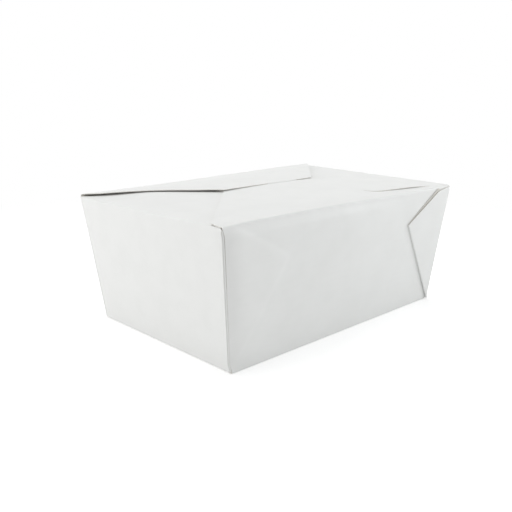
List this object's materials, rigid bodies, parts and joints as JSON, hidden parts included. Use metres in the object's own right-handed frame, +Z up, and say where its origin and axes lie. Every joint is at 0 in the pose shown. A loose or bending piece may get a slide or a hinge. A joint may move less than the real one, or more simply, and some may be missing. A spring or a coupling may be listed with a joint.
{
  "type": "takeout food box",
  "caption": "White folded paperboard takeout box with leaning walls, folded web corners and a top that shuts with a tongue in a slit.",
  "frame": {"origin": "middle of the underside, on the surface the box stands on", "axes": "+X along the long side towards the end whose webs are folded outside, +Z up, front long wall at -Y and the opening flap's hinge at +Y"},
  "size_m": [0.2278, 0.144, 0.092],
  "materials": {
    "board": "white coated paperboard, satin"
  },
  "bodies": {
    "box": {"carton": "board"},
    "flap": {"locking_flap": "board"}
  },
  "joints": [
    {"name": "rear_flap_crease", "type": "hinge", "parent": "box", "child": "flap", "pos_m": [0, 0.07049, 0.08765], "axis": [-1, 0, 0], "range_deg": [0, 180]}
  ]
}
